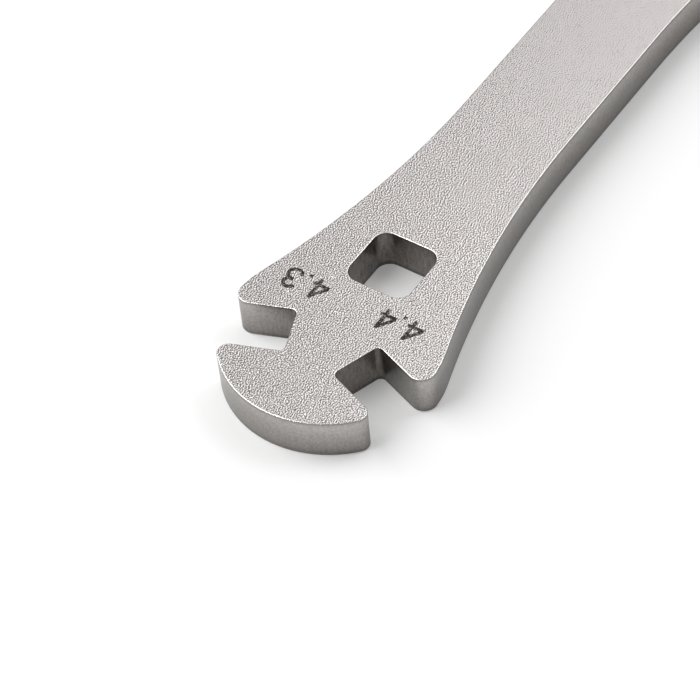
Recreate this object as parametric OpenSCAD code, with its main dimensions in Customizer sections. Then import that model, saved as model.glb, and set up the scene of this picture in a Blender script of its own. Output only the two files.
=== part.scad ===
// Flat double-slot spoke wrench, cut from one steel plate.
// The plate lies flat on z = 0 with its long axis along X. The slotted head is at -X
// and the plain paddle end is at +X.

/* [Plate] */
// Length of the plate from end to end
overall_l = 86.5; // [80:0.5:120]
// Thickness of the plate
plate_t = 3.7; // [2.5:0.1:6]
// Width of the straight grip
grip_w = 9.85; // [8:0.05:12]
// Radius of the two rounded ends
end_r = 9.1; // [8.5:0.1:10]
// Radius of the hollow flares between the grip and the ends
flare_r = 80; // [50:1:95]
// Size of the break along every edge of both faces
edge_break = 0.15; // [0.05:0.01:0.3]

/* [Nipple slots] */
// Width of the slot on the +Y side, across the flats of the nipple
left_slot_w = 4.3; // [3.2:0.05:5]
// Width of the slot on the -Y side, across the flats of the nipple
right_slot_w = 4.4; // [3.2:0.05:5]
// Lean of the slots towards the nose, from square across the plate
slot_lean = 20; // [10:1:30]
// Distance along a slot from the long axis to its floor
slot_floor = 3.25; // [2.5:0.05:4.5]
// How far ahead of the head's centre the slots' centre lines cross the long axis
slot_ahead = 0.16; // [0:0.02:1]
// Radius in the two inner corners of a slot
root_r = 0.5; // [0.2:0.05:1]
// Radius on the lug behind the mouth of a slot
lug_r = 1.15; // [0.5:0.05:2]
// Radius on the tip of the nose beside the mouth of a slot
tip_r = 0.9; // [0.4:0.05:1.5]

/* [Square hole] */
// Width of the square hole across its flats
hole_w = 5.7; // [4.5:0.1:7]
// Radius in the corners of the square hole
hole_r = 1.2; // [0.5:0.1:2]
// Distance from the head's centre back to the centre of the hole
hole_back = 8.45; // [7.5:0.05:14]

/* [Hidden] */
$fn = 240;
steel = [0.76, 0.75, 0.73];
// Overrun of every cut past the surface that it leaves
over = 1;
// Overlap of a round with the face that it runs on from
lap = 0.003;

// Centres of the rounded ends and of the flares, from the middle of the plate.
// A flare touches the grip's straight edge at one end and the round end at the other.
end_x = overall_l / 2 - end_r;
flare_y = grip_w / 2 + flare_r;
flare_x = end_x - sqrt((flare_r + end_r - lap) ^ 2 - flare_y ^ 2);

// The head's centre, in the frame of a slot: x runs out along the slot, y towards the nose
head_in_slot = slot_ahead * [-sin(slot_lean), -cos(slot_lean)];

// Edge of a solid r away from an axis or a middle plane: it draws in at both faces
function solid_edge(r) = [
    [r - edge_break, 0],
    [r, edge_break],
    [r, plate_t - edge_break],
    [r - edge_break, plate_t]
];

// Edge of a cut r away from an axis or a middle plane: it opens out past both faces
function cut_edge(r) = [
    [r + edge_break + over, -over],
    [r, edge_break],
    [r, plate_t - edge_break],
    [r + edge_break + over, plate_t + over]
];

// The same edge on the other side of the axis, in the order that closes an outline
function other_side(edge) = [for (i = [len(edge) - 1 : -1 : 0]) [-edge[i].x, edge[i].y]];

// Centre of the round on a mouth corner: side is 1 for the nose's tip and -1 for the lug
function corner_centre(slot_w, r, side) =
    let (y = side * (slot_w / 2 + r))
    [head_in_slot.x + sqrt((end_r - r) ^ 2 - (y - head_in_slot.y) ^ 2), y];

module round_solid(r) {
    rotate_extrude() polygon(concat([[0, 0]], solid_edge(r), [[0, plate_t]]));
}

module round_cut(r) {
    rotate_extrude() polygon(concat([[0, -over]], cut_edge(r), [[0, plate_t + over]]));
}

// Cut along X from x = 0, as wide as w
module channel_cut(l, w) {
    rotate([90, 0, 90]) linear_extrude(l)
        polygon(concat(cut_edge(w / 2), other_side(cut_edge(w / 2))));
}

// Cut along X from x = 0 that takes everything from the plane y = 0 to y = depth
module wall_cut(l, depth) {
    rotate([90, 0, 90]) linear_extrude(l)
        polygon(concat([[depth, -over], [depth, plate_t + over]], other_side(cut_edge(0))));
}

// What is cut away beside the grip on the +Y side: a straight edge between two flares
module flank_cut() {
    for (x = [-flare_x, flare_x]) translate([x, flare_y, 0]) round_cut(flare_r);
    translate([-flare_x, grip_w / 2, 0]) wall_cut(2 * flare_x, flare_r + over);
}

// Grip and flares, out to the lines from the ends' centres to the flares' centres
module waist() {
    difference() {
        linear_extrude(plate_t) polygon([
            [-end_x, 0], [-flare_x, -flare_y], [flare_x, -flare_y],
            [end_x, 0], [flare_x, flare_y], [-flare_x, flare_y]
        ]);
        flank_cut();
        mirror([0, 1, 0]) flank_cut();
    }
}

module blank() {
    waist();
    for (x = [-end_x, end_x]) translate([x, 0, 0]) round_solid(end_r);
}

module slot_cut(slot_w) {
    root_x = slot_floor + root_r;
    root_y = slot_w / 2 - root_r;
    translate([root_x, 0, 0]) channel_cut(end_r, slot_w);
    translate([slot_floor, root_y, 0]) rotate(-90) wall_cut(2 * root_y, 2 * root_r);
    for (y = [-root_y, root_y]) translate([root_x, y, 0]) round_cut(root_r);
}

// Takes the sharp corner off the mouth of a slot, outside a round of radius r. The cut lies
// between the lines from the round's centre to the slot's wall and to the head's outside.
module corner_cut(slot_w, r, side) {
    centre = corner_centre(slot_w, r, side);
    to_slot = [0, -side];
    outwards = (centre - head_in_slot) / (end_r - r);
    reach = r + over;
    beyond = reach * (to_slot + outwards) / (1 + to_slot * outwards);
    translate([centre.x, centre.y, 0]) difference() {
        translate([0, 0, -over]) linear_extrude(plate_t + 2 * over)
            polygon([[0, 0], reach * to_slot, beyond, reach * outwards]);
        round_solid(r + lap);
    }
}

// The slot on the +Y side of the head, with the rounds at its mouth
module head_slot(slot_w) {
    translate([-end_x - slot_ahead, 0, 0]) rotate(90 + slot_lean) {
        slot_cut(slot_w);
        corner_cut(slot_w, tip_r, 1);
        corner_cut(slot_w, lug_r, -1);
    }
}

module square_hole() {
    flat = hole_w - 2 * hole_r;
    translate([hole_back - end_x, 0, 0]) {
        for (turn = [0, 90]) rotate(turn) translate([-flat / 2, 0, 0]) channel_cut(flat, hole_w);
        for (x = [-flat / 2, flat / 2], y = [-flat / 2, flat / 2])
            translate([x, y, 0]) round_cut(hole_r);
    }
}

module wrench_plate() {
    color(steel) difference() {
        blank();
        head_slot(left_slot_w);
        mirror([0, 1, 0]) head_slot(right_slot_w);
        square_hole();
    }
}

wrench_plate();
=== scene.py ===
"""Looks of a flat double-slot spoke wrench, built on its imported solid.

The wrench is one plate of stainless steel, bead blasted on its faces and bare cut on its walls, with a
size marked beside each slot. Classes hold sizes in millimetres. Meshes are in metres, in the solid's own
frame: the slotted head is at -X, the left slot is on the +Y side and the marked face is up.
"""

import logging
import math
from dataclasses import dataclass, field
from enum import Enum
from typing import Any

import bmesh
import bpy
from mathutils import Matrix, Vector


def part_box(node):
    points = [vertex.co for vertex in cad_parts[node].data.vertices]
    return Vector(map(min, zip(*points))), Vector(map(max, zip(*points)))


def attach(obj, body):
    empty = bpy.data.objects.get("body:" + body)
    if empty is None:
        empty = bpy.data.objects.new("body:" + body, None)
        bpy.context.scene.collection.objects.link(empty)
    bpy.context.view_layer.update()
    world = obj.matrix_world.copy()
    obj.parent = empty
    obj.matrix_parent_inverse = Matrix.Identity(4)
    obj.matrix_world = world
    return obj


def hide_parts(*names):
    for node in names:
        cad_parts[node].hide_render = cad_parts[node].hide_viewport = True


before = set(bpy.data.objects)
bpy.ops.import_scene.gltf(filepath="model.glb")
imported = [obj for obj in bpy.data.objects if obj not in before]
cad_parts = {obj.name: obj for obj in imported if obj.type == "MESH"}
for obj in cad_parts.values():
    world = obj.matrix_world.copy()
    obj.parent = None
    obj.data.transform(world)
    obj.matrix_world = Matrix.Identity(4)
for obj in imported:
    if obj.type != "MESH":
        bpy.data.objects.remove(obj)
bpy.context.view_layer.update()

LOG = logging.getLogger("spoke_wrench")
MM = 0.001
NODE = "wrench_plate"
BODY = "root"
QUARTER = math.pi / 2


def linear(colour: str) -> tuple[float, float, float, float]:
    """Turns an sRGB hex colour into the linear colour that shaders take.

    Args:
        colour: Six hex digits.

    Returns:
        Linear red, green, blue and an alpha of 1.
    """
    shares = [int(colour[i:i + 2], 16) / 255 for i in (0, 2, 4)]
    red, green, blue = [s / 12.92 if s <= 0.04045 else ((s + 0.055) / 1.055) ** 2.4 for s in shares]
    return red, green, blue, 1.0


def add_node(tree: bpy.types.NodeTree, kind: str, inputs: dict[Any, Any] | None = None,
             **settings: Any) -> bpy.types.Node:
    """Adds a node with its settings, and links or sets its inputs.

    Args:
        tree: The tree that gets the node.
        kind: The node's type name.
        inputs: For each input's name or number, the socket that feeds it or the value that it takes.
        **settings: The node's own properties.

    Returns:
        The new node.
    """
    node = tree.nodes.new(kind)
    for name, value in settings.items():
        setattr(node, name, value)
    for name, value in (inputs or {}).items():
        if isinstance(value, bpy.types.NodeSocket):
            tree.links.new(value, node.inputs[name])
        else:
            node.inputs[name].default_value = value
    return node


def new_material(name: str) -> bpy.types.Material:
    """Makes a material with an empty node tree."""
    material = bpy.data.materials.new(name)
    material.use_nodes = True
    material.node_tree.nodes.clear()
    return material


def shown(tree: bpy.types.NodeTree) -> bpy.types.NodeSocket:
    """Tells what the camera, a mirror or a glass shows from what only sends light on.

    Args:
        tree: The tree to add the nodes to.

    Returns:
        1 for the rays of the camera and those that metal or glass sends on, and 0 for the rest.
    """
    ray = add_node(tree, "ShaderNodeLightPath")
    seen = ray.outputs["Is Camera Ray"]
    for kind in ("Is Glossy Ray", "Is Transmission Ray"):
        either = add_node(tree, "ShaderNodeMath", {0: seen, 1: ray.outputs[kind]}, operation="MAXIMUM")
        seen = either.outputs[0]
    return seen


def in_millimetres(tree: bpy.types.NodeTree) -> bpy.types.NodeSocket:
    """Adds the place on the piece, in the solid's frame.

    Args:
        tree: The material's tree.

    Returns:
        The place, in mm.
    """
    place = add_node(tree, "ShaderNodeTexCoord").outputs["Object"]
    scaled = add_node(tree, "ShaderNodeMapping", {"Vector": place, "Scale": (1 / MM,) * 3})
    return scaled.outputs["Vector"]


class Side(Enum):
    """A side of the plate, as the sign of Y."""

    LEFT = 1
    RIGHT = -1


@dataclass(frozen=True)
class BlastedSteel:
    """Bead-blasted stainless steel: pale grey, with close shallow dents that catch the light and painted
    shade in them.

    Attributes:
        name: The material's name.
        steel: Colour on the ridges between the dents.
        painted_dent_shade: Darker colour in the dents: painted shade in the hollows of the grain.
        tint_reach: Height above and below the dents' middle level over which the two colours blend.
        dents_per_mm: Dents along a millimetre. A real bead leaves finer ones too, which would read as flat.
        spread: How far the dents' spacing stays even: the number of dents that keep in step.
        slant: How far the dents lie in rows, from 0 to 1, as the blast comes in at a slant.
        slant_deg: Direction across these rows, from the length of the plate.
        dent_depth_mm: Depth of the dents.
        roughness: Roughness of the steel between the dents.
        worn_tint: Colour where hands have rubbed the grip.
        worn_mm: Places along the plate where the wear begins and from where on it is full.
        worn_share: Share of the dents that is rubbed away where the wear is full.
    """

    name: str = "stainless_steel_bead_blasted"
    steel: str = "E4E0DE"
    painted_dent_shade: str = "A09C9B"
    tint_reach: float = 0.15
    dents_per_mm: float = 4.7
    spread: float = 1.2
    slant: float = 0.12
    slant_deg: float = 60.0
    dent_depth_mm: float = 0.036
    roughness: float = 0.24
    worn_tint: str = "B5B1B0"
    worn_mm: tuple[float, float] = (-20.0, 7.0)
    worn_share: float = 0.68

    def dents(self, tree: bpy.types.NodeTree) -> dict[str, bpy.types.NodeSocket]:
        """Adds the dents, fainter where hands have rubbed the grip.

        Args:
            tree: The material's tree.

        Returns:
            The wear from 0 to 1, the height of the dents from -0.5 to 0.5, and the normal that they give.
        """
        in_mm = in_millimetres(tree)
        grain = add_node(tree, "ShaderNodeTexGabor", {
            "Vector": in_mm, "Scale": self.dents_per_mm / self.spread, "Frequency": self.spread,
            "Anisotropy": self.slant, "Orientation": math.radians(self.slant_deg)})
        level = add_node(tree, "ShaderNodeMath", {0: grain.outputs["Value"], 1: 0.5}, operation="SUBTRACT")
        along = add_node(tree, "ShaderNodeSeparateXYZ", {"Vector": in_mm})
        wear = add_node(tree, "ShaderNodeMapRange", {
            "Value": along.outputs["X"], "From Min": self.worn_mm[0], "From Max": self.worn_mm[1]},
            interpolation_type="SMOOTHSTEP").outputs["Result"]
        kept = add_node(tree, "ShaderNodeMath", {
            0: wear, 1: -self.worn_share, 2: 1.0}, operation="MULTIPLY_ADD")
        height = add_node(tree, "ShaderNodeMath", {
            0: level.outputs[0], 1: kept.outputs[0]}, operation="MULTIPLY").outputs[0]
        bump = add_node(tree, "ShaderNodeBump", {
            "Height": height, "Strength": 1.0, "Distance": self.dent_depth_mm * MM})
        return {"wear": wear, "height": height, "normal": bump.outputs["Normal"]}

    def material(self) -> bpy.types.Material:
        """Builds the finish.

        Returns:
            The material.
        """
        material = new_material(self.name)
        tree = material.node_tree
        dents = self.dents(tree)
        # Darkens the dents: painted shade in the hollows of the grain.
        tint = add_node(tree, "ShaderNodeMapRange", {
            "Value": dents["height"], "From Min": -self.tint_reach, "From Max": self.tint_reach})
        fresh = add_node(tree, "ShaderNodeMix", {
            "Factor": tint.outputs["Result"], "A": linear(self.painted_dent_shade), "B": linear(self.steel)},
            data_type="RGBA")
        colour = add_node(tree, "ShaderNodeMix", {
            "Factor": dents["wear"], "A": fresh.outputs["Result"], "B": linear(self.worn_tint)},
            data_type="RGBA")
        shader = add_node(tree, "ShaderNodeBsdfPrincipled", {
            "Base Color": colour.outputs["Result"], "Metallic": 1.0, "Roughness": self.roughness,
            "Normal": dents["normal"]})
        add_node(tree, "ShaderNodeOutputMaterial", {"Surface": shader.outputs["BSDF"]})
        return material


@dataclass(frozen=True)
class CutSteel:
    """Stainless steel as the cutter leaves it: satin walls with upright lines, darker towards the foot and
    in a band under the top edge.

    The darkening towards the foot is painted shade, for the floor's shadow that the walls mirror. The walls
    of the slots and the hole are darker all over, as painted shade in these recesses, and more lined.

    Attributes:
        name: The material's name.
        outer: Colours of a wall outside from its foot up, with their heights in mm; painted shade at the
            foot.
        inner: The same in a slot or in the hole, darker all over as painted shade in these recesses.
        roughness: Roughness of the walls.
        flat_tint: Tint of what the walls mirror at a flat angle, where the lines hide each other.
        line_mm: Distance from line to line. The finest real ones are left out.
        line_stretch: How many times longer than wide the lines are.
        line_share: Share of the light that the lines take outside and inside.
        line_levels: Levels of the noise from where a line starts to where it is full.
        mottle_mm: Size of the spots between the lines.
        mottle_share: Share of the light that the spots take.
        mottle_levels: Levels of the noise from where a spot starts to where it is full.
        line_depth_mm: Depth of the lines.
        inner_name: Name of the mesh's attribute that is 1 inside and 0 outside.
    """

    name: str = "stainless_steel_cut"
    # Darker towards the foot: painted shade for the floor's shadow that the wall mirrors. The top two stops
    # darken a band under the top edge.
    outer: tuple[tuple[float, str], ...] = (
        (0.0, "827E7A"), (0.3, "888480"), (0.55, "96928F"), (1.0, "9E9A97"), (1.8, "A7A3A0"),
        (2.6, "B0ADAA"), (3.3, "B8B5B1"), (3.5, "AAA7A4"), (3.7, "7C7874"))
    # Darker than outside all over: painted shade in the slots and the hole.
    inner: tuple[tuple[float, str], ...] = (
        (0.0, "6C6864"), (0.3, "77736F"), (0.55, "918C88"), (1.0, "928D89"), (2.2, "8C8783"),
        (3.0, "87827E"), (3.5, "827E7A"), (3.7, "5E5A56"))
    roughness: float = 0.3
    flat_tint: str = "EDEDED"
    line_mm: float = 0.2
    line_stretch: float = 5.0
    line_share: tuple[float, float] = (0.05, 0.34)
    line_levels: tuple[float, float] = (0.35, 0.75)
    mottle_mm: float = 0.2
    mottle_share: float = 0.3
    mottle_levels: tuple[float, float] = (0.35, 0.7)
    line_depth_mm: float = 0.004
    inner_name: str = "inner"

    @staticmethod
    def colours_and_painted_shade_by_height(tree: bpy.types.NodeTree, height: bpy.types.NodeSocket,
              colours: tuple[tuple[float, str], ...]) -> bpy.types.NodeSocket:
        """Adds colours that change with the height, painted shade among them.

        Args:
            tree: The material's tree.
            height: Height above the lower face, in mm.
            colours: The colours, from the foot up, each with its height in mm.

        Returns:
            The colour.
        """
        top = colours[-1][0]
        share = add_node(tree, "ShaderNodeMath", {0: height, 1: 1 / top}, operation="MULTIPLY")
        ramp = add_node(tree, "ShaderNodeValToRGB", {"Fac": share.outputs[0]})
        stops = ramp.color_ramp.elements
        while len(stops) < len(colours):
            stops.new(1.0)
        for stop, (at, colour) in zip(stops, colours):
            stop.position = at / top
            stop.color = linear(colour)
        return ramp.outputs["Color"]

    def material(self) -> bpy.types.Material:
        """Builds the finish.

        Returns:
            The material.
        """
        material = new_material(self.name)
        tree = material.node_tree
        inside = add_node(tree, "ShaderNodeAttribute", attribute_name=self.inner_name).outputs["Fac"]
        in_mm = in_millimetres(tree)
        height = add_node(tree, "ShaderNodeSeparateXYZ", {"Vector": in_mm}).outputs["Z"]
        # Takes the darker colours in the slots and the hole: painted shade in these recesses.
        wall = add_node(tree, "ShaderNodeMix", {
            "Factor": inside, "A": self.colours_and_painted_shade_by_height(tree, height, self.outer),
            "B": self.colours_and_painted_shade_by_height(tree, height, self.inner)}, data_type="RGBA")
        upright = add_node(tree, "ShaderNodeMapping", {
            "Vector": in_mm, "Scale": (1.0, 1.0, 1 / self.line_stretch)}).outputs["Vector"]
        lines = add_node(tree, "ShaderNodeTexNoise", {
            "Vector": upright, "Scale": 1 / self.line_mm, "Detail": 2.0, "Roughness": 0.6}).outputs["Fac"]
        dark = add_node(tree, "ShaderNodeMapRange", {
            "Value": lines, "From Min": self.line_levels[0], "From Max": self.line_levels[1]})
        share = add_node(tree, "ShaderNodeMapRange", {
            "Value": inside, "To Min": -self.line_share[0], "To Max": -self.line_share[1]})
        spots = add_node(tree, "ShaderNodeTexNoise", {
            "Vector": in_mm, "Scale": 1 / self.mottle_mm, "Detail": 3.0, "Roughness": 0.7}).outputs["Fac"]
        spotted = add_node(tree, "ShaderNodeMapRange", {
            "Value": spots, "From Min": self.mottle_levels[0], "From Max": self.mottle_levels[1],
            "To Min": 1.0, "To Max": 1 - self.mottle_share})
        kept = add_node(tree, "ShaderNodeMath", {
            0: dark.outputs["Result"], 1: share.outputs["Result"], 2: spotted.outputs["Result"]},
            operation="MULTIPLY_ADD")
        colour = add_node(tree, "ShaderNodeMix", {
            "Factor": 1.0, "A": wall.outputs["Result"], "B": kept.outputs[0]},
            data_type="RGBA", blend_type="MULTIPLY")
        bump = add_node(tree, "ShaderNodeBump", {
            "Height": lines, "Strength": 1.0, "Distance": self.line_depth_mm * MM})
        shader = add_node(tree, "ShaderNodeBsdfPrincipled", {
            "Base Color": colour.outputs["Result"], "Metallic": 1.0, "Roughness": self.roughness,
            "Specular Tint": linear(self.flat_tint), "Normal": bump.outputs["Normal"]})
        add_node(tree, "ShaderNodeOutputMaterial", {"Surface": shader.outputs["BSDF"]})
        return material


@dataclass(frozen=True)
class LaserMark:
    """Blasted steel that a laser has burnt: a matt dark grey skin over the dents, thin on their ridges.

    Attributes:
        name: The material's name.
        skin: Colour of the burnt skin.
        thin_skin: Colour where the steel shows through the skin.
        speck_mm: Size of the specks where it does.
        ridge_share: How far a ridge thins the skin, where a speck thins it by 1.
        thin_levels: Levels from where the skin starts to thin to where it is thinnest.
        roughness: Roughness of the skin.
        ground: The steel under the skin.
    """

    name: str = "stainless_steel_laser_marked"
    skin: str = "302E2D"
    thin_skin: str = "8C8986"
    speck_mm: float = 0.13
    ridge_share: float = 0.7
    thin_levels: tuple[float, float] = (0.52, 0.76)
    roughness: float = 0.45
    ground: BlastedSteel = BlastedSteel()

    def material(self) -> bpy.types.Material:
        """Builds the finish.

        Returns:
            The material.
        """
        material = new_material(self.name)
        tree = material.node_tree
        dents = self.ground.dents(tree)
        in_mm = in_millimetres(tree)
        specks = add_node(tree, "ShaderNodeTexNoise", {
            "Vector": in_mm, "Scale": 1 / self.speck_mm, "Detail": 1.0, "Roughness": 0.5})
        raised = add_node(tree, "ShaderNodeMath", {
            0: dents["height"], 1: self.ridge_share, 2: specks.outputs["Fac"]}, operation="MULTIPLY_ADD")
        thin = add_node(tree, "ShaderNodeMapRange", {
            "Value": raised.outputs[0], "From Min": self.thin_levels[0], "From Max": self.thin_levels[1]})
        colour = add_node(tree, "ShaderNodeMix", {
            "Factor": thin.outputs["Result"], "A": linear(self.skin), "B": linear(self.thin_skin)},
            data_type="RGBA")
        shader = add_node(tree, "ShaderNodeBsdfPrincipled", {
            "Base Color": colour.outputs["Result"], "Metallic": 1.0, "Roughness": self.roughness,
            "Normal": dents["normal"]})
        add_node(tree, "ShaderNodeOutputMaterial", {"Surface": shader.outputs["BSDF"]})
        return material


@dataclass(frozen=True)
class PaleFloor:
    """Matt white board: pure white where it is open to the light, with the object's soft shadow on it.

    Attributes:
        name: The material's name.
        board: Colour of the board.
        glow: Share of its white that doesn't depend on the lamps.
    """

    name: str = "white_board_matt"
    board: str = "F8F8F8"
    glow: float = 0.2

    def material(self) -> bpy.types.Material:
        """Builds the finish.

        Returns:
            The material.
        """
        material = new_material(self.name)
        tree = material.node_tree
        share = add_node(tree, "ShaderNodeMath", {0: shown(tree), 1: self.glow}, operation="MULTIPLY")
        lit = add_node(tree, "ShaderNodeBsdfDiffuse", {"Color": linear(self.board)})
        white = add_node(tree, "ShaderNodeEmission", {"Strength": 1.0})
        mixed = add_node(tree, "ShaderNodeMixShader", {
            0: share.outputs[0], 1: lit.outputs["BSDF"], 2: white.outputs["Emission"]})
        add_node(tree, "ShaderNodeOutputMaterial", {"Surface": mixed.outputs["Shader"]})
        return material


@dataclass(frozen=True)
class Arc:
    """A round stretch of an outline that is run with the steel on its left, so a hollow one runs clockwise.

    Attributes:
        centre: Its centre, in mm.
        radius: Its radius, in mm.
        start: Angle where it starts, in radians.
        end: Angle where it ends, in radians.
        inner: Whether it is in a slot or in the hole.
    """

    centre: Vector
    radius: float
    start: float
    end: float
    inner: bool = False

    def turned(self, angle: float, shift: Vector) -> "Arc":
        """Gives the arc turned about the origin and then moved."""
        centre = Matrix.Rotation(angle, 2) @ self.centre + shift
        return Arc(centre, self.radius, self.start + angle, self.end + angle, self.inner)

    def mirrored(self) -> "Arc":
        """Gives the arc mirrored in the long axis, run so that the steel stays on its left."""
        return Arc(Vector((self.centre.x, -self.centre.y)), self.radius, -self.end, -self.start, self.inner)

    def stations(self, step: float) -> list[tuple[Vector, Vector]]:
        """Samples the arc.

        Args:
            step: Longest turn from one sample to the next, in radians.

        Returns:
            Places along the arc, each with the direction out of the steel.
        """
        count = max(2, math.ceil(abs(self.end - self.start) / step))
        facing = math.copysign(1.0, self.end - self.start)
        found = []
        for i in range(count + 1):
            angle = self.start + (self.end - self.start) * i / count
            out = Vector((math.cos(angle), math.sin(angle)))
            found.append((self.centre + self.radius * out, facing * out))
        return found


@dataclass
class WrenchPlate:
    """The wrench's one piece: a waisted plate with two leaning slots in its head and a square hole behind.

    Sizes are in millimetres and angles in radians. The length, width and thickness come from the
    solid's box, with room left on the top face for the skin of the marks.

    Attributes:
        grip_w: Width of the grip at its waist.
        flare_r: Radius of the hollow flares between the grip and the two ends.
        edge_r: Radius of the rounds along all edges.
        skin_room: Room left above the top face.
        slot_w: Width of each slot.
        slot_lean: Lean of the slots towards the nose.
        slot_floor: Distance from the slots' floors to the point that they lean about.
        slot_ahead: How far that point lies ahead of the head's centre.
        root_r: Radius of the slots' inner corners.
        lug_r: Radius of the lug behind a slot's mouth.
        tip_r: Radius of the nose's tip before it.
        hole_w: Width of the square hole.
        hole_r: Radius of its corners.
        hole_back: How far its middle lies behind the head's centre.
        turn_step: Longest turn from one point of a small round to the next.
        flare_step: Longest turn from one point of a flare to the next.
        edge_steps: Steps round each edge.
        merge_share: Distance at which two points of an outline are taken as one, as a share of edge_r.
    """

    grip_w: float = 9.85
    flare_r: float = 80.0
    edge_r: float = 0.1
    skin_room: float = 0.006
    slot_w: dict[Side, float] = field(default_factory=lambda: {Side.LEFT: 4.3, Side.RIGHT: 4.4})
    slot_lean: float = math.radians(20)
    slot_floor: float = 3.25
    slot_ahead: float = 0.16
    root_r: float = 0.5
    lug_r: float = 1.15
    tip_r: float = 0.9
    hole_w: float = 5.7
    hole_r: float = 1.2
    hole_back: float = 8.45
    turn_step: float = math.radians(4)
    flare_step: float = math.radians(0.75)
    edge_steps: int = 6
    merge_share: float = 0.1

    def __post_init__(self) -> None:
        """Takes the overall sizes from the solid."""
        low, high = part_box(NODE)
        self.length, self.width, thickness = (high - low) / MM
        self.middle = ((low + high) / 2 / MM).to_2d()
        self.thickness = thickness - self.skin_room
        self.end_r = self.width / 2
        self.end_x = self.length / 2 - self.end_r
        self.flare_y = self.grip_w / 2 + self.flare_r
        self.flare_x = self.end_x - math.sqrt((self.flare_r + self.end_r) ** 2 - self.flare_y ** 2)

    def slot(self, side: Side) -> list[Arc]:
        """Gives the round stretches of a slot, from its lug to the tip of the nose.

        Args:
            side: The slot's side. The arcs are those of a slot of its width on the left.

        Returns:
            The lug's round, the two inner corners and the tip's round.
        """
        half = self.slot_w[side] / 2
        head = -self.slot_ahead * Vector((math.sin(self.slot_lean), math.cos(self.slot_lean)))

        def mouth(radius: float, y: float) -> tuple[Vector, float]:
            """Centre of a round at the mouth, and the angle where it meets the head's outside."""
            x = head.x + math.sqrt((self.end_r - radius) ** 2 - (y - head.y) ** 2)
            return Vector((x, y)), math.atan2(y - head.y, x - head.x)

        lug, lug_angle = mouth(self.lug_r, -half - self.lug_r)
        tip, tip_angle = mouth(self.tip_r, half + self.tip_r)
        root_x, root_y = self.slot_floor + self.root_r, half - self.root_r
        arcs = [
            Arc(lug, self.lug_r, lug_angle, QUARTER),
            Arc(Vector((root_x, -root_y)), self.root_r, -QUARTER, -math.pi, inner=True),
            Arc(Vector((root_x, root_y)), self.root_r, math.pi, QUARTER, inner=True),
            Arc(tip, self.tip_r, -QUARTER, tip_angle),
        ]
        shift = Vector((-self.end_x - self.slot_ahead, 0))
        return [arc.turned(QUARTER + self.slot_lean, shift) for arc in arcs]

    def outline(self) -> list[Arc]:
        """Gives the round stretches of the outside, anticlockwise from the plain end."""
        join = math.atan2(self.flare_y, self.end_x - self.flare_x)
        sides = {}
        for side in Side:
            slot = self.slot(side)
            sides[side] = [
                Arc(Vector((self.flare_x, self.flare_y)), self.flare_r, -join, -QUARTER),
                Arc(Vector((-self.flare_x, self.flare_y)), self.flare_r, -QUARTER, join - math.pi),
                Arc(Vector((-self.end_x, 0)), self.end_r, join, slot[0].start),
                *slot,
            ]
        left, right = sides[Side.LEFT], [arc.mirrored() for arc in reversed(sides[Side.RIGHT])]
        plain_end = Arc(Vector((self.end_x, 0)), self.end_r, join - math.pi, math.pi - join)
        nose = Arc(Vector((-self.end_x, 0)), self.end_r, left[-1].end, 2 * math.pi + right[0].start)
        return [plain_end, *left, nose, *right]

    def hole(self) -> list[Arc]:
        """Gives the corners of the square hole, clockwise."""
        flat = self.hole_w / 2 - self.hole_r
        middle = Vector((self.hole_back - self.end_x, 0))
        corners = []
        for i in range(4):
            turn = -i * QUARTER
            corner = Arc(Vector((flat, flat)), self.hole_r, QUARTER, 0.0, inner=True)
            corners.append(corner.turned(turn, middle))
        return corners

    def trace(self, arcs: list[Arc]) -> list[tuple[Vector, Vector, bool]]:
        """Samples a closed outline, leaving out the places where one arc ends as the next starts.

        Args:
            arcs: Its round stretches, in order.

        Returns:
            Places round the outline, each with the direction out of the steel and whether its arc is inner.
        """
        found: list[tuple[Vector, Vector, bool]] = []
        apart = self.merge_share * self.edge_r
        for arc in arcs:
            step = self.flare_step if arc.radius == self.flare_r else self.turn_step
            for place, out in arc.stations(step):
                if not found or (place + self.middle - found[-1][0]).length > apart:
                    found.append((place + self.middle, out, arc.inner))
        if (found[0][0] - found[-1][0]).length < apart:
            found.pop()
        return found

    def edge_profile(self) -> list[tuple[float, float]]:
        """Gives the plate's edge from the top face to the bottom face, as inset and height."""
        top, bottom = [], []
        for i in range(self.edge_steps + 1):
            angle = QUARTER * i / self.edge_steps
            inset = self.edge_r * (1 - math.sin(angle))
            drop = self.edge_r * (1 - math.cos(angle))
            top.append((inset, self.thickness - drop))
            bottom.append((inset, drop))
        return top + bottom[::-1]

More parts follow.
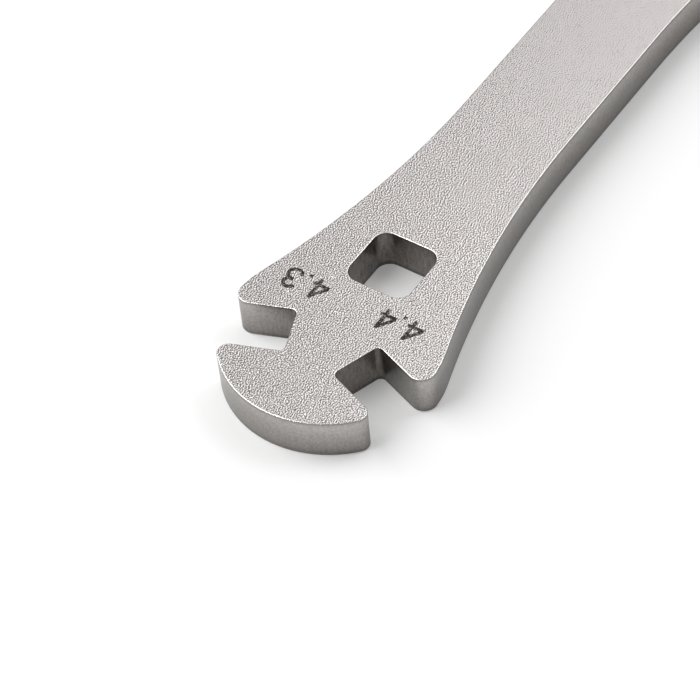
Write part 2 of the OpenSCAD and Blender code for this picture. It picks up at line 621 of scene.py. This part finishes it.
    def build(self, face: bpy.types.Material, wall: bpy.types.Material,
              inner_name: str) -> bpy.types.Object:
        """Makes the plate's mesh and dresses it.

        Args:
            face: Finish of the two faces and of the upper half of the top edges' rounds.
            wall: Finish of the walls and of the rest of the edges.
            inner_name: Name of the attribute that is 1 in the slots and the hole and 0 outside.

        Returns:
            The plate.
        """
        mesh = bpy.data.meshes.new("spoke_wrench_plate")
        bm = bmesh.new()
        inside = bm.verts.layers.float.new(inner_name)
        caps: dict[float, list[bmesh.types.BMEdge]] = {0.0: [], self.thickness: []}
        profile = self.edge_profile()
        for arcs in (self.outline(), self.hole()):
            places = self.trace(arcs)
            rings = [[bm.verts.new(Vector((*(place - inset * out), z)) * MM) for place, out, _ in places]
                     for inset, z in profile]
            for ring in rings:
                for vert, (_, _, inner) in zip(ring, places):
                    vert[inside] = float(inner)
            count = len(places)
            for row, (upper, lower) in enumerate(zip(rings, rings[1:])):
                for i in range(count):
                    j = (i + 1) % count
                    strip = bm.faces.new((upper[j], upper[i], lower[i], lower[j]))
                    strip.smooth = True
                    strip.material_index = int(row >= self.edge_steps // 2)
            for height, ring in ((self.thickness, rings[0]), (0.0, rings[-1])):
                caps[height] += [bm.edges.get((ring[i], ring[(i + 1) % count])) for i in range(count)]
        for height, edges in caps.items():
            up = 1.0 if height else -1.0
            bmesh.ops.triangle_fill(bm, edges=edges, use_beauty=True, normal=(0, 0, up))
        bmesh.ops.recalc_face_normals(bm, faces=bm.faces)
        bm.to_mesh(mesh)
        bm.free()
        plate = bpy.data.objects.new("spoke_wrench_plate", mesh)
        bpy.context.scene.collection.objects.link(plate)
        for finish in (face, wall):
            mesh.materials.append(finish)
        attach(plate, BODY)
        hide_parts(NODE)
        return plate


class Figure(Enum):
    """A figure of the size marks. Its lines are in shares of the figures' height, from its lower left."""

    POINT = "."
    THREE = "3"
    FOUR = "4"

    def advance(self) -> float:
        """Gives the share of the height from this figure's left to the next one's."""
        return 0.388 if self is Figure.POINT else 0.777

    def lines(self) -> list[list[Vector]]:
        """Gives the middle lines of the figure's strokes."""
        if self is Figure.POINT:
            return [[Vector((0.127, 0.065)), Vector((0.262, 0.065))]]
        if self is Figure.FOUR:
            stem = [Vector((0.513, 0.0)), Vector((0.513, 1.0))]
            bar = [Vector((0.018, 0.296)), Vector((0.717, 0.296))]
            slope = [Vector((0.068, 0.317)), Vector((0.525, 0.965))]
            return [stem, bar, slope]
        waist = Vector((0.294, 0.532))
        upper = oval((0.361, 0.735), (0.238, 0.203), 168.0, -90.0)
        lower = oval((0.382, 0.288), (0.273, 0.244), 90.0, -172.0)
        return [[*upper, waist], [waist, *lower]]


def oval(centre: tuple[float, float], reach: tuple[float, float], start: float, end: float,
         count: int = 16) -> list[Vector]:
    """Samples a stretch of an oval.

    Args:
        centre: Its centre.
        reach: Half its width and half its height.
        start: Angle where the stretch starts, in degrees.
        end: Angle where it ends, in degrees.
        count: Number of steps.

    Returns:
        Places along the stretch.
    """
    angles = [math.radians(start + (end - start) * i / count) for i in range(count + 1)]
    return [Vector((centre[0] + reach[0] * math.cos(angle), centre[1] + reach[1] * math.sin(angle)))
            for angle in angles]


@dataclass(frozen=True)
class SizeMark:
    """A slot's width in laser-burnt figures on the top face, to be read from the grip.

    Attributes:
        side: The slot's side.
        figures: What it says.
        left_mm: Where the first figure starts, along Y.
        foot_mm: Where the figures stand, along X.
        height_mm: Height of the figures.
        stroke_mm: Width of their strokes.
        skin_mm: Thickness of the burnt skin.
        rise_mm: How far the skin stands above the face.
    """

    side: Side
    figures: str
    left_mm: float
    foot_mm: float = -29.76
    height_mm: float = 2.15
    stroke_mm: float = 0.33
    skin_mm: float = 0.03
    rise_mm: float = 0.005

    def lines(self, height: float) -> list[list[Vector]]:
        """Lays the figures out on the face.

        Args:
            height: Height of the skin's middle, in mm.

        Returns:
            The middle lines of all strokes, in mm.
        """
        found = []
        along = 0.0
        for sign in self.figures:
            figure = Figure(sign)
            for line in figure.lines():
                placed = []
                for point in line:
                    x = self.foot_mm - point.y * self.height_mm
                    y = self.left_mm + (along + point.x) * self.height_mm
                    placed.append(Vector((x, y, height)))
                found.append(placed)
            along += figure.advance()
        return found

    @staticmethod
    def tree() -> bpy.types.NodeTree:
        """Builds the node tree that lays a flat skin along stroke lines and joins the strokes.

        Returns:
            The tree, with inputs for the lines, the stroke's width, the skin's thickness and its finish.
        """
        tree = bpy.data.node_groups.new("burnt_strokes", "GeometryNodeTree")
        for name, kind in (("Lines", "NodeSocketGeometry"), ("Stroke", "NodeSocketFloat"),
                           ("Skin", "NodeSocketFloat"), ("Finish", "NodeSocketMaterial")):
            tree.interface.new_socket(name, in_out="INPUT", socket_type=kind)
        tree.interface.new_socket("Mark", in_out="OUTPUT", socket_type="NodeSocketGeometry")
        given = add_node(tree, "NodeGroupInput").outputs
        lines = add_node(tree, "GeometryNodeMeshToCurve", {"Mesh": given["Lines"]})
        level = add_node(tree, "GeometryNodeSetCurveNormal", {"Curve": lines.outputs["Curve"]}, mode="Z_UP")
        profile = add_node(tree, "GeometryNodeCurvePrimitiveQuadrilateral", {
            "Width": given["Stroke"], "Height": given["Skin"]})
        strokes = add_node(tree, "GeometryNodeCurveToMesh", {
            "Curve": level.outputs["Curve"], "Profile Curve": profile.outputs["Curve"], "Fill Caps": True})
        joined = add_node(tree, "GeometryNodeMeshBoolean", {
            "Mesh 2": strokes.outputs["Mesh"], "Self Intersection": True},
            operation="UNION", solver="EXACT")
        plain = add_node(tree, "GeometryNodeRealizeInstances", {"Geometry": joined.outputs["Mesh"]})
        dressed = add_node(tree, "GeometryNodeSetMaterial", {
            "Geometry": plain.outputs["Geometry"], "Material": given["Finish"]})
        add_node(tree, "NodeGroupOutput", {"Mark": dressed.outputs["Geometry"]})
        return tree

    def build(self, face: float, finish: bpy.types.Material) -> bpy.types.Object:
        """Makes the mark's mesh.

        Args:
            face: Height of the face that it is on, in mm.
            finish: Finish of the skin.

        Returns:
            The mark.
        """
        name = f"size_mark_{self.side.name.lower()}"
        mesh = bpy.data.meshes.new(f"{name}_lines")
        places: list[Vector] = []
        edges: list[tuple[int, int]] = []
        for line in self.lines(face + self.rise_mm - self.skin_mm / 2):
            first = len(places)
            places += line
            edges += [(i, i + 1) for i in range(first, len(places) - 1)]
        mesh.from_pydata(places, edges, [])
        mark = bpy.data.objects.new(name, mesh)
        bpy.context.scene.collection.objects.link(mark)
        tree = self.tree()
        values = {"Stroke": self.stroke_mm, "Skin": self.skin_mm, "Finish": finish}
        strokes = mark.modifiers.new("burnt_strokes", "NODES")
        strokes.node_group = tree
        for item in tree.interface.items_tree:
            if item.in_out == "INPUT" and item.name in values:
                strokes[item.identifier] = values[item.name]
        graph = bpy.context.evaluated_depsgraph_get()
        skin = bpy.data.meshes.new_from_object(mark.evaluated_get(graph))
        mark.modifiers.remove(strokes)
        skin.transform(Matrix.Scale(MM, 4))
        mark.data = skin
        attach(mark, BODY)
        return mark


@dataclass(frozen=True)
class SoftLamp:
    """A soft lamp so far off that it lights the whole floor alike.

    Attributes:
        name: Its name.
        azimuth: Direction that it stands in, anticlockwise from +X, in degrees.
        elevation: Height above the floor, in degrees.
        spread: Angle that it fills, in degrees.
        strength: Light that it sends, in watts on a square metre that faces it.
    """

    name: str
    azimuth: float
    elevation: float
    spread: float
    strength: float

    def build(self) -> bpy.types.Object:
        """Puts the lamp in the scene."""
        data = bpy.data.lights.new(self.name, "SUN")
        data.energy = self.strength
        data.angle = math.radians(self.spread)
        lamp = bpy.data.objects.new(self.name, data)
        tilt = Matrix.Rotation(math.radians(90 - self.elevation), 4, "Y")
        lamp.matrix_world = Matrix.Rotation(math.radians(self.azimuth), 4, "Z") @ tilt
        bpy.context.scene.collection.objects.link(lamp)
        return lamp


@dataclass
class Studio:
    """Floor, light and the camera of the photograph.

    Attributes:
        aim: Place that the camera looks at, in mm.
        azimuth: Direction that the camera stands in, anticlockwise from -Y, in degrees.
        elevation: Height of the camera above the floor, in degrees.
        roll: Turn of the camera about its own axis, in degrees.
        distance: How far the camera stands from the place it looks at, in mm.
        lens: Its focal length, in mm.
        sensor: Width of its sensor, in mm.
        floor_half: Half the width of the floor, in mm.
        ambient: Light from all round on matt things.
        opening: Azimuth from +X and elevation of the dim opening in the white backdrop, in degrees.
        opening_edge: Angles from its middle, in degrees, where it starts to pale and where it ends.
        opening_level: Brightness of the opening, where the backdrop's white is 1.
        lamps: The lamps.
    """

    aim: Vector = field(default_factory=lambda: Vector((-34.81, -2.10, 3.70)))
    azimuth: float = 308.65
    elevation: float = 48.49
    roll: float = -6.28
    distance: float = 236.4
    lens: float = 158.0
    sensor: float = 36.0
    floor_half: float = 3000.0
    ambient: float = 0.02
    opening: tuple[float, float] = (30.0, 58.0)
    opening_edge: tuple[float, float] = (28.0, 50.0)
    opening_level: float = 0.1
    lamps: tuple[SoftLamp, ...] = (
        SoftLamp("right_strip", azimuth=-30.0, elevation=51.0, spread=22.0, strength=0.4),
        SoftLamp("right_softbox", azimuth=0.0, elevation=52.0, spread=55.0, strength=1.04),
        SoftLamp("left_softbox", azimuth=116.0, elevation=42.0, spread=66.0, strength=3.45),
    )

    def camera(self) -> bpy.types.Object:
        """Sets up the camera where the photograph was taken.

        Returns:
            The camera.
        """
        data = bpy.data.cameras.new("camera")
        data.lens = self.lens
        data.sensor_width = self.sensor
        data.clip_start = MM
        camera = bpy.data.objects.new("camera", data)
        turn = (Matrix.Rotation(math.radians(self.azimuth), 4, "Z")
                @ Matrix.Rotation(math.radians(90 - self.elevation), 4, "X")
                @ Matrix.Rotation(math.radians(self.roll), 4, "Z"))
        back = turn.to_3x3() @ Vector((0, 0, self.distance))
        camera.matrix_world = Matrix.Translation((self.aim + back) * MM) @ turn
        bpy.context.scene.collection.objects.link(camera)
        bpy.context.scene.camera = camera
        return camera

    def floor(self, finish: bpy.types.Material) -> bpy.types.Object:
        """Lays the floor under the wrench."""
        mesh = bpy.data.meshes.new("floor")
        half = self.floor_half * MM
        corners = [(-half, -half, 0), (half, -half, 0), (half, half, 0), (-half, half, 0)]
        mesh.from_pydata(corners, [], [(0, 1, 2, 3)])
        mesh.materials.append(finish)
        floor = bpy.data.objects.new("floor", mesh)
        bpy.context.scene.collection.objects.link(floor)
        return floor

    def light(self) -> None:
        """Hangs the lamps and a white backdrop with a dim opening, which the steel mirrors.

        The camera, metal and glass see the backdrop. Matt things get the ambient light in its place.
        """
        world = bpy.data.worlds.new("studio")
        bpy.context.scene.world = world
        world.use_nodes = True
        tree = world.node_tree
        tree.nodes.clear()
        way = add_node(tree, "ShaderNodeTexCoord").outputs["Object"]
        around, up = (math.radians(angle) for angle in self.opening)
        middle = Vector((math.cos(around) * math.cos(up), math.sin(around) * math.cos(up), math.sin(up)))
        near = add_node(tree, "ShaderNodeVectorMath", {0: way, 1: middle}, operation="DOT_PRODUCT")
        inside, outside = (math.cos(math.radians(angle)) for angle in self.opening_edge)
        wall = add_node(tree, "ShaderNodeMapRange", {
            "Value": near.outputs["Value"], "From Min": outside, "From Max": inside, "To Min": 1.0,
            "To Max": self.opening_level}, interpolation_type="SMOOTHSTEP")
        level = add_node(tree, "ShaderNodeMix", {
            "Factor": shown(tree), "A": self.ambient, "B": wall.outputs["Result"]}, data_type="FLOAT")
        fill = add_node(tree, "ShaderNodeBackground", {
            "Color": (1, 1, 1, 1), "Strength": level.outputs["Result"]})
        add_node(tree, "ShaderNodeOutputWorld", {"Surface": fill.outputs["Background"]})
        for lamp in self.lamps:
            lamp.build()


def main() -> None:
    """Builds the wrench and the studio round it."""
    logging.basicConfig(level=logging.INFO, format="%(name)s: %(message)s")
    bpy.context.scene.view_settings.view_transform = "Standard"
    studio = Studio()
    studio.camera()
    studio.light()
    studio.floor(PaleFloor().material())
    plate = WrenchPlate()
    cut = CutSteel()
    pieces = [plate.build(BlastedSteel().material(), cut.material(), cut.inner_name)]
    burnt = LaserMark().material()
    for mark in (SizeMark(Side.LEFT, "4.3", left_mm=2.76), SizeMark(Side.RIGHT, "4.4", left_mm=-6.07)):
        pieces.append(mark.build(plate.thickness, burnt))
    for piece in pieces:
        LOG.info("%s: %d faces", piece.name, len(piece.data.polygons))


if __name__ == "__main__":
    main()
